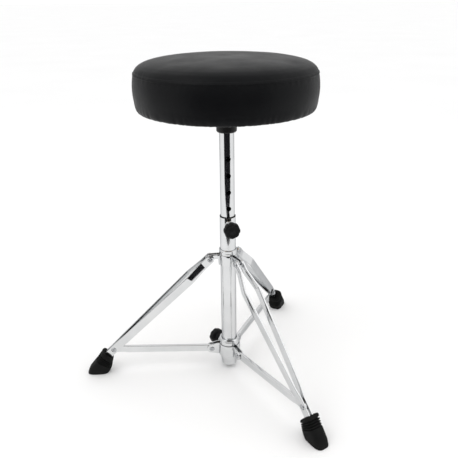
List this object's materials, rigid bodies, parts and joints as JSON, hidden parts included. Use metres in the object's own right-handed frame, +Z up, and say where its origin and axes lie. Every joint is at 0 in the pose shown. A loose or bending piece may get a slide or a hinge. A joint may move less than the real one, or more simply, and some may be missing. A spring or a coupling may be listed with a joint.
{
  "type": "drum throne",
  "caption": "Drummer's stool: round padded vinyl seat that swivels on a telescopic chromed column, over a fold-up tripod of double-bar legs with braces and rubber feet.",
  "frame": {"origin": "point on the floor under the column's axis; the flat end of the plug in the column's foot is 4 mm above it", "axes": "+Z up along the column; -X along leg 1, the other two legs at -60 and +60 degrees from +X towards +Y"},
  "size_m": [0.4313, 0.489, 0.596],
  "materials": {
    "chrome": "polished chrome plate",
    "zinc_steel": "bright zinc plate",
    "black_plastic": "moulded, fine matte texture",
    "black_paint": "satin powder coat",
    "black_rubber": "matte moulded rubber",
    "black_vinyl": "grained black vinyl over foam",
    "plywood": "unfinished plywood"
  },
  "bodies": {
    "column": {"lower_tube": "chrome", "tube_bush": "black_plastic", "post_end_plug": "black_plastic", "tube_stop_ring": "chrome", "lock_boss": "chrome", "upper_collar": "chrome", "upper_bracket_1": "chrome", "upper_bracket_2": "chrome", "upper_bracket_3": "chrome", "upper_pivot_pin_1": "zinc_steel", "upper_pivot_pin_2": "zinc_steel", "upper_pivot_pin_3": "zinc_steel"},
    "post": {"seat_post": "chrome", "post_foot_plug": "black_plastic"},
    "seat": {"seat_hub": "black_paint", "seat_board": "plywood", "seat_cushion": "black_vinyl", "hub_screw_1": "zinc_steel", "hub_screw_2": "zinc_steel", "hub_screw_3": "zinc_steel", "hub_screw_4": "zinc_steel"},
    "height_stud": {"height_stud": "zinc_steel"},
    "height_knob": {"height_knob": "black_plastic"},
    "collar": {"lower_collar": "chrome", "lower_bracket_1": "chrome", "lower_bracket_2": "chrome", "lower_bracket_3": "chrome", "brace_pin_1": "zinc_steel", "brace_pin_2": "zinc_steel", "brace_pin_3": "zinc_steel"},
    "clamp_stud": {"clamp_stud": "zinc_steel"},
    "clamp_knob": {"clamp_knob": "black_plastic"},
    "brace_1": {"brace_1": "chrome"},
    "leg_1": {"leg_bar_1a": "chrome", "leg_bar_1b": "chrome", "upper_rivet_head_1a": "zinc_steel", "upper_rivet_head_1b": "zinc_steel", "foot_rivet_1": "zinc_steel", "foot_boot_1": "black_rubber"},
    "brace_2": {"brace_2": "chrome"},
    "leg_2": {"leg_bar_2a": "chrome", "leg_bar_2b": "chrome", "upper_rivet_head_2a": "zinc_steel", "upper_rivet_head_2b": "zinc_steel", "foot_rivet_2": "zinc_steel", "foot_boot_2": "black_rubber"},
    "brace_3": {"brace_3": "chrome"},
    "leg_3": {"leg_bar_3a": "chrome", "leg_bar_3b": "chrome", "upper_rivet_head_3a": "zinc_steel", "upper_rivet_head_3b": "zinc_steel", "foot_rivet_3": "zinc_steel", "foot_boot_3": "black_rubber"}
  },
  "joints": [
    {"name": "seat_height", "type": "slide", "parent": "column", "child": "post", "axis": [0, 0, 1], "range_m": [-0.12, 0.03]},
    {"name": "seat_swivel", "type": "hinge", "parent": "post", "child": "seat", "pos_m": [0, 0, 0.5], "axis": [0, 0, 1], "continuous": true},
    {"name": "height_knob_travel", "type": "slide", "parent": "column", "child": "height_stud", "axis": [0.1045, -0.9945, 0], "range_m": [0, 0.005]},
    {"name": "height_knob_turn", "type": "hinge", "parent": "height_stud", "child": "height_knob", "pos_m": [0.00314, -0.02984, 0.3068], "axis": [0.1045, -0.9945, 0], "range_deg": [0, 1441]},
    {"name": "tripod_fold", "type": "slide", "parent": "column", "child": "collar", "axis": [0, 0, 1], "range_m": [0, 0.11756]},
    {"name": "clamp_knob_travel", "type": "slide", "parent": "collar", "child": "clamp_stud", "axis": [-0.6157, 0.788, 0], "range_m": [0, 0.0025]},
    {"name": "clamp_knob_turn", "type": "hinge", "parent": "clamp_stud", "child": "clamp_knob", "pos_m": [-0.01847, 0.02364, 0.05], "axis": [-0.6157, 0.788, 0], "range_deg": [0, 721]},
    {"name": "brace_hinge_1", "type": "hinge", "parent": "collar", "child": "brace_1", "pos_m": [-0.0344, 0, 0.0426], "axis": [0, -1, 0], "range_deg": [-0.2, 92.71]},
    {"name": "leg_hinge_1", "type": "hinge", "parent": "brace_1", "child": "leg_1", "pos_m": [-0.2245, 0, 0.05], "axis": [0, -1, 0], "range_deg": [-47.15, 0.2]},
    {"name": "brace_hinge_2", "type": "hinge", "parent": "collar", "child": "brace_2", "pos_m": [0.0172, -0.02979, 0.0426], "axis": [0.866, 0.5, 0], "range_deg": [-0.2, 92.71]},
    {"name": "leg_hinge_2", "type": "hinge", "parent": "brace_2", "child": "leg_2", "pos_m": [0.11225, -0.19442, 0.05], "axis": [0.866, 0.5, 0], "range_deg": [-47.15, 0.2]},
    {"name": "brace_hinge_3", "type": "hinge", "parent": "collar", "child": "brace_3", "pos_m": [0.0172, 0.02979, 0.0426], "axis": [-0.866, 0.5, 0], "range_deg": [-0.2, 92.71]},
    {"name": "leg_hinge_3", "type": "hinge", "parent": "brace_3", "child": "leg_3", "pos_m": [0.11225, 0.19442, 0.05], "axis": [-0.866, 0.5, 0], "range_deg": [-47.15, 0.2]}
  ],
  "couplings": [
    {"joint": "height_knob_turn", "follows": "height_knob_travel", "rad_per_m": 5026.5},
    {"joint": "clamp_knob_turn", "follows": "clamp_knob_travel", "rad_per_m": 5026.5},
    {"joint": "brace_hinge_1", "follows": "tripod_fold", "rad_per_m": 13.72},
    {"joint": "leg_hinge_1", "follows": "tripod_fold", "rad_per_m": -6.9555},
    {"joint": "brace_hinge_2", "follows": "tripod_fold", "rad_per_m": 13.72},
    {"joint": "leg_hinge_2", "follows": "tripod_fold", "rad_per_m": -6.9555},
    {"joint": "brace_hinge_3", "follows": "tripod_fold", "rad_per_m": 13.72},
    {"joint": "leg_hinge_3", "follows": "tripod_fold", "rad_per_m": -6.9555}
  ]
}
